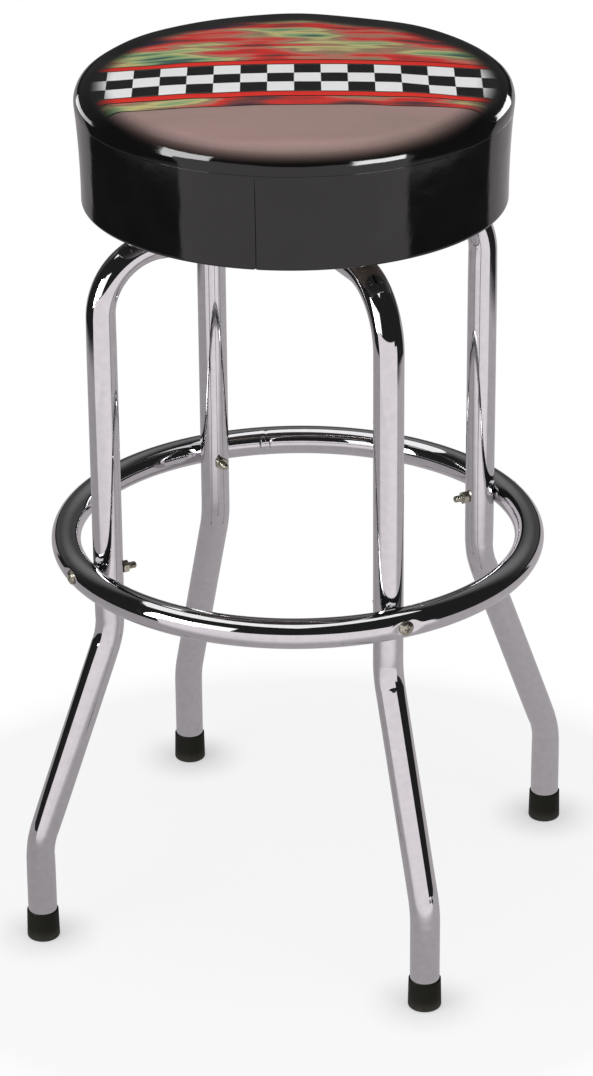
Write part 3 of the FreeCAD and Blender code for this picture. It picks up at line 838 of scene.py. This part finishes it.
# %% Seat cover
seam_turn = math.radians(-80.2)
seam_half_width = 0.8 * mm
seam_depth = 0.85 * mm
gather_depth = 0.9 * mm
staple_count = 28
weld_gap = 0.002 * mm
edge_row = 0.012 * mm
plain_columns = 216
seam_offsets = np.array([-6, -3.5, -2, -1.2, -0.6, 0, 0.6, 1.2, 2, 3.5, 6]) * mm / seat_radius


def cover_turns():
    """Even angles round the seat, with finer ones in place of those near the upright seam."""
    even = seam_turn + np.linspace(0, 2 * np.pi, plain_columns, endpoint=False)
    off = (even - seam_turn + np.pi) % (2 * np.pi) - np.pi
    clear = np.abs(off) > seam_offsets.max() * 1.3
    return np.sort(np.concatenate([off[clear], seam_offsets])) + seam_turn


def skin_grid(at, turns, depth):
    """The skin at these lengths from the middle and angles: profile + (swelling - depth) * normal, where the
    swelling is a sum of waves round the seat, plus the groove of the seam and the gathers of the hem."""
    row = np.interp(at, skin_length, np.arange(len(skin_length)))
    point = np.stack([np.interp(row, np.arange(len(skin)), skin[:, i]) for i in (0, 1)], axis=1)
    normal = np.stack([np.interp(row, np.arange(len(skin)), skin_out[:, i]) for i in (0, 1)], axis=1)
    wave = np.arange(sim_waves)
    coefficients = np.stack([np.interp(at, swell_at, swell_waves[:, k].real)
                             + 1j * np.interp(at, swell_at, swell_waves[:, k].imag) for k in wave], axis=1)
    stand = (coefficients @ np.exp(1j * wave[:, None] * turns[None, :])).real
    off_seam = ((turns - seam_turn + np.pi) % (2 * np.pi) - np.pi) * seat_radius
    on_band = np.clip((at - seam_at) / (2 * mm), 0, 1)[:, None]
    stand = stand - on_band * seam_depth * np.exp(-(off_seam / seam_half_width) ** 2)[None, :]
    on_hem = np.clip((at - foot_at - foot_edge * quarter) / (6 * mm), 0, 1)[:, None]
    gather = 0.5 - 0.5 * np.cos(staple_count * turns)
    gather = gather * (0.65 + 0.35 * np.sin(5 * turns + 0.7) * np.cos(3 * turns))
    stand = stand * (1 - on_hem) + on_hem * gather_depth * gather[None, :]
    point = point[:, None, :] + normal[:, None, :] * (stand - depth)[..., None]
    return np.stack([point[..., 0] * np.cos(turns), point[..., 0] * np.sin(turns), point[..., 1]], axis=-1)


turns = cover_turns()
panel_rows = np.concatenate([np.linspace(1.5 * mm, crown_radius * math.radians(90 - crown_edge) - 3 * mm, 40),
                             np.linspace(crown_radius * math.radians(90 - crown_edge), seam_at - 1.2 * mm, 16),
                             seam_at - weld_gap - np.array([edge_row, 0])])
band_rows = np.concatenate([seam_at + weld_gap + np.array([0, edge_row]),
                            np.linspace(seam_at + 1.4 * mm, foot_at, 18),
                            np.linspace(foot_at, foot_at + foot_edge * quarter, 7)[1:],
                            np.linspace(foot_at + foot_edge * quarter + 2 * mm, skin_length[-1] - 0.6 * mm, 10),
                            skin_length[-1:]])


def closed_skin(rows, inner_step):
    """Outer rows, then the same skin one thickness inside it, back to the start."""
    outer = skin_grid(rows, turns, 0.0)
    inner = skin_grid(np.concatenate([rows[::-1][:2], rows[::-1][2::inner_step]]), turns, cover_thickness)
    return np.concatenate([outer, inner])


top_panel = add_piece("seat_top_panel", *closed_grid(closed_skin(panel_rows, 3)), "seat", "printed_vinyl")
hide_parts("seat_top_cover", "seat_foam")
band_skin = closed_grid(closed_skin(band_rows, 2), loop_rows=True)
side_band = add_piece("seat_band", *band_skin, "seat", "black_vinyl")
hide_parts("seat_side_band")
for cover in (top_panel, side_band):
    finer = cover.modifiers.new("one_subdivision", "SUBSURF")
    finer.levels = finer.render_levels = 1

# %% [markdown]
# ## Metal finishes
# Chrome is a thin bright plate on polished tube. It is never a perfect mirror: the polish leaves long faint
# waves and the plate a slight haze, so noise moves its colour, roughness and bump by small amounts. The
# fasteners have dull yellow zinc, and the hidden bearing parts plain or painted steel.

# %% Metal finishes
finishes = {}


def finish(name, **sockets):
    """A material with one Principled shader whose plain values are set on its own sockets.
    It is kept under its slot's name. Returns its node tree and the shader."""
    material = bpy.data.materials.new(name + "_finish")
    material.use_nodes = True
    finishes[name] = material
    shader = material.node_tree.nodes["Principled BSDF"]
    for socket, value in sockets.items():
        shader.inputs[socket.replace("_", " ")].default_value = value
    return material.node_tree, shader


def noise(tree, scale, detail=3.0, roughness=0.5, stretch=(1, 1, 1)):
    """Noise on Object coordinates, with its grain stretched along the axes."""
    place = add_node(tree, "TexCoord").outputs["Object"]
    place = add_node(tree, "Mapping", {"Vector": place, "Scale": stretch}).outputs[0]
    grain = {"Vector": place, "Scale": scale, "Detail": detail, "Roughness": roughness}
    return add_node(tree, "TexNoise", grain).outputs[0]


def spread(tree, value, low, high):
    """Noise, which mostly lies from 0.3 to 0.7, spread between two values."""
    limits = {"Value": value, "From Min": 0.3, "From Max": 0.7, "To Min": low, "To Max": high}
    return add_node(tree, "MapRange", limits).outputs[0]


def bump(tree, shader, height, strength, distance, under=None):
    """Tilts the shader's normal by a height, on top of another bump if there is one."""
    inputs = {"Height": height, "Strength": strength, "Distance": distance}
    if under is not None:
        inputs["Normal"] = under
    normal = add_node(tree, "Bump", inputs).outputs[0]
    tree.links.new(normal, shader.inputs["Normal"])
    return normal


def colour_between(tree, shader, share, first, second):
    """The shader's base colour, blended between two by a share."""
    tree.links.new(blend_colour(tree, share, (*first, 1), (*second, 1)), shader.inputs["Base Color"])


def metal(name, first, second, smoothest, roughest, grain, wave, wave_strength):
    """A metal whose colour and roughness follow a fine grain, with a broad faint wave in its surface."""
    tree, shader = finish(name, Metallic=1.0)
    fine = noise(tree, grain, 4.0)
    colour_between(tree, shader, spread(tree, fine, 0, 1), first, second)
    tree.links.new(spread(tree, fine, smoothest, roughest), shader.inputs["Roughness"])
    bump(tree, shader, noise(tree, wave, 2.0), wave_strength, 0.001)


metal("chrome", (0.60, 0.595, 0.61), (0.655, 0.65, 0.66), 0.025, 0.06, 160.0, 26.0, 0.10)
metal("zinc_fastener", (0.36, 0.335, 0.25), (0.50, 0.485, 0.42), 0.2, 0.34, 420.0, 260.0, 0.12)
metal("plain_steel", (0.42, 0.42, 0.42), (0.56, 0.56, 0.55), 0.2, 0.4, 500.0, 300.0, 0.1)
print("metals:", ", ".join(finishes))

# %% [markdown]
# ## Rubber, paint, nylon and plywood
# The tips are moulded rubber, almost black with an olive cast and a dusty bloom near the floor. The swivel
# plates are sprayed black, the bearing ring is bare nylon, and the board is dark plywood: grain on its faces,
# and plies in bands up its edge, which the height draws.

# %% Matt finishes
tree, shader = finish("tip_rubber", Specular_IOR_Level=0.15)
bloom = noise(tree, 240.0, 5.0, 0.65)
dusty = add_node(tree, "SeparateXYZ", {0: add_node(tree, "TexCoord").outputs["Object"]}).outputs[2]
dusty = calc(tree, "MULTIPLY", calc(tree, "SUBTRACT", 1.0, rise(tree, dusty, 0.001, 0.012)), bloom)
colour_between(tree, shader, dusty, (0.0085, 0.0085, 0.0045), (0.06, 0.056, 0.046))
tree.links.new(spread(tree, bloom, 0.5, 0.68), shader.inputs["Roughness"])
bump(tree, shader, noise(tree, 1500.0, 2.0), 0.18, 0.0004)

tree, shader = finish("swivel_paint")
speckle = noise(tree, 900.0, 3.0)
colour_between(tree, shader, spread(tree, speckle, 0, 1), (0.018, 0.018, 0.019), (0.034, 0.034, 0.036))
tree.links.new(spread(tree, speckle, 0.32, 0.46), shader.inputs["Roughness"])
bump(tree, shader, speckle, 0.12, 0.0004)

tree, shader = finish("bearing_nylon", Subsurface_Weight=0.1)
haze = noise(tree, 200.0, 3.0)
colour_between(tree, shader, spread(tree, haze, 0, 1), (0.66, 0.62, 0.52), (0.74, 0.71, 0.62))
tree.links.new(spread(tree, haze, 0.38, 0.5), shader.inputs["Roughness"])

tree, shader = finish("plywood")
grain = noise(tree, 60.0, 6.0, 0.6, (1, 14, 1))
height = add_node(tree, "SeparateXYZ", {0: add_node(tree, "TexCoord").outputs["Object"]}).outputs[2]
ply = between(tree, calc(tree, "FRACT", calc(tree, "MULTIPLY", height, 1 / 0.0048)), 0.0, 0.5, 0.06)
tone = calc(tree, "ADD", calc(tree, "MULTIPLY", spread(tree, grain, 0, 1), 0.65),
            calc(tree, "MULTIPLY", ply, 0.35))
colour_between(tree, shader, tone, (0.035, 0.026, 0.018), (0.09, 0.064, 0.045))
tree.links.new(spread(tree, grain, 0.6, 0.75), shader.inputs["Roughness"])
bump(tree, shader, grain, 0.2, 0.0004)

tree, shader = finish("foam")
pores = noise(tree, 700.0, 4.0)
colour_between(tree, shader, spread(tree, pores, 0, 1), (0.62, 0.56, 0.40), (0.78, 0.72, 0.56))
tree.links.new(spread(tree, pores, 0.8, 0.95), shader.inputs["Roughness"])
print("matt finishes ready")

# %% [markdown]
# ## Black vinyl
# The band's vinyl is glossy enough to mirror the studio, and not quite flat: long shallow dents and smaller
# ripples bend the edges of the reflections, and a very fine grain takes the hardest edge off the gloss.

# %% Black vinyl
def vinyl_gloss(tree, shader):
    """The three scales of unevenness that both vinyls share. Returns the roughness of bare glossy vinyl."""
    dents = bump(tree, shader, noise(tree, 16.0, 2.0), 0.2, 0.004)
    ripples = bump(tree, shader, noise(tree, 75.0, 2.0), 0.05, 0.002, dents)
    bump(tree, shader, noise(tree, 1800.0, 2.0), 0.02, 0.0003, ripples)
    return spread(tree, noise(tree, 45.0, 3.0), 0.055, 0.10)


black_skin = (0.0042, 0.0041, 0.0039)
tree, shader = finish("black_vinyl", Specular_IOR_Level=0.45)
cloud = noise(tree, 30.0, 3.0)
colour_between(tree, shader, spread(tree, cloud, 0, 1), black_skin, (0.0065, 0.0063, 0.0060))
tree.links.new(vinyl_gloss(tree, shader), shader.inputs["Roughness"])
print("black vinyl ready")

# %% [markdown]
# ## Printed vinyl
# The top carries a print that fades to black at its edge. Here it is a plain racing-stripe design of the
# same colours: a straight chequered band between red stripes, streaks of blurred colour about it and a warm
# grey field in front. All of it is drawn in Object coordinates turned to face the camera's side: limits on
# the distance away cut the stripes, a chequer fills the band, and stretched noise runs through a colour ramp.
# The ink dulls the gloss, so the roughness rises with it and the shine falls.

# %% Printed vinyl
square = 22 * mm
band_front, band_back = -60 * mm, 6 * mm
field_edge = -93 * mm
line_width = 2 * mm
stripe_width = 9 * mm
edge_softness = 0.4 * mm
fade_middle = -22 * mm
fade_inner, fade_outer = 148 * mm, 168 * mm
bead_fade_low, bead_fade_high = 741 * mm, 752 * mm

tree, shader = finish("printed_vinyl")
right, away, up = turned_coordinates(tree, -camera_turn)


def streaks(along, across, detail):
    """Noise that is long from side to side and thin from front to back."""
    stretched = {0: calc(tree, "MULTIPLY", right, along), 1: calc(tree, "MULTIPLY", away, across)}
    place = add_node(tree, "CombineXYZ", stretched).outputs[0]
    return add_node(tree, "TexNoise", {"Vector": place, "Scale": 1.0, "Detail": detail}).outputs[0]


patches = calc(tree, "MULTIPLY", streaks(8.0, 17.0, 2.0), 0.68)
lines = calc(tree, "MULTIPLY", streaks(3.0, 70.0, 2.0), 0.32)
ramp = add_node(tree, "ValToRGB", {0: calc(tree, "ADD", patches, lines)})
ramp.color_ramp.interpolation = "EASE"
streak_colours = [(0.37, (0.045, 0.02, 0.05)), (0.41, (0.16, 0.05, 0.045)), (0.45, (0.62, 0.03, 0.025)),
                  (0.485, (0.50, 0.17, 0.12)), (0.51, (0.28, 0.20, 0.12)), (0.54, (0.55, 0.48, 0.20)),
                  (0.57, (0.24, 0.38, 0.18)), (0.61, (0.06, 0.12, 0.10)), (0.65, (0.04, 0.02, 0.045))]
elements = ramp.color_ramp.elements
while len(elements) < len(streak_colours):
    elements.new(0.5)
for element, (position, colour) in zip(elements, streak_colours):
    element.position = position
    element.color = (*colour, 1)
field = blend_colour(tree, spread(tree, streaks(4.0, 40.0, 2.0), 0, 1), (0.318, 0.222, 0.195, 1),
                     (0.368, 0.24, 0.222, 1))
picture = blend_colour(tree, rise(tree, away, field_edge - edge_softness, field_edge + edge_softness), field,
                       ramp.outputs[0])
red = blend_colour(tree, spread(tree, streaks(3.0, 150.0, 2.0), 0, 1), (0.66, 0.016, 0.012, 1),
                   (0.80, 0.040, 0.022, 1))
black_ink = (0.011, 0.0105, 0.0105, 1)
stripes_at = [(band_back + line_width, band_back + line_width + stripe_width),
              (band_front - line_width - stripe_width, band_front - line_width)]
picture = blend_colour(tree, between(tree, away, field_edge, field_edge + line_width, edge_softness), picture,
                       black_ink)
for low, high in stripes_at:
    edge = between(tree, away, low - line_width, high + line_width, edge_softness)
    picture = blend_colour(tree, edge, picture, black_ink)
    picture = blend_colour(tree, between(tree, away, low, high, edge_softness), picture, red)
cells = add_node(tree, "CombineXYZ", {0: right, 1: calc(tree, "SUBTRACT", away, band_front)}).outputs[0]
chequer = add_node(tree, "TexChecker", {"Vector": cells, "Color1": (0.84, 0.84, 0.83, 1), "Color2": black_ink,
                                        "Scale": 1 / square}).outputs[0]
picture = blend_colour(tree, between(tree, away, band_front, band_back, edge_softness), picture, chequer)
shifted = calc(tree, "SUBTRACT", away, fade_middle)
from_middle = calc(tree, "SQRT", calc(tree, "ADD", calc(tree, "POWER", right, 2.0),
                                      calc(tree, "POWER", shifted, 2.0)))
printed = calc(tree, "MULTIPLY", rise(tree, up, bead_fade_low, bead_fade_high),
               calc(tree, "SUBTRACT", 1.0, rise(tree, from_middle, fade_inner, fade_outer)))
faded = blend_colour(tree, printed, (*black_skin, 1), picture)
tree.links.new(faded, shader.inputs["Base Color"])
dulled = calc(tree, "SUBTRACT", 0.45, calc(tree, "MULTIPLY", printed, 0.34))
tree.links.new(dulled, shader.inputs["Specular IOR Level"])
ink = calc(tree, "MULTIPLY", printed, spread(tree, noise(tree, 300.0, 3.0), 0.30, 0.40))
tree.links.new(calc(tree, "ADD", vinyl_gloss(tree, shader), ink), shader.inputs["Roughness"])
print("print drawn with", len(tree.nodes), "nodes")

# %% [markdown]
# ## Dressing the pieces
# Each new piece carries the name of a slot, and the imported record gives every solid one, so one loop can
# paint the whole stool. The solids that stay on show keep their meshes, and only get the new finish. The new
# chrome and vinyl pieces also join the group that their own lamps are linked to.

# %% Paint every piece
slots = {part["node"]: part["material_slot"] for part in frame["record"]["subparts"]}
for node, solid in frame["nodes"].items():
    solid.data.materials.clear()
    solid.data.materials.append(finishes[slots[node]])
new_pieces = [thing for thing in scene.objects if thing.get("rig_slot")]
for piece in new_pieces:
    slot = piece["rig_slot"]
    piece.data.materials.append(finishes[slot])
    if slot in gloss_groups:
        gloss_groups[slot].objects.link(piece)
print("painted", len(slots), "solids and", len(new_pieces), "new pieces")

# %% [markdown]
# The new surfaces may not change the size of the stool. This cell takes the box of the dressed stool.

# %% Box of the dressed stool
low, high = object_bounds()
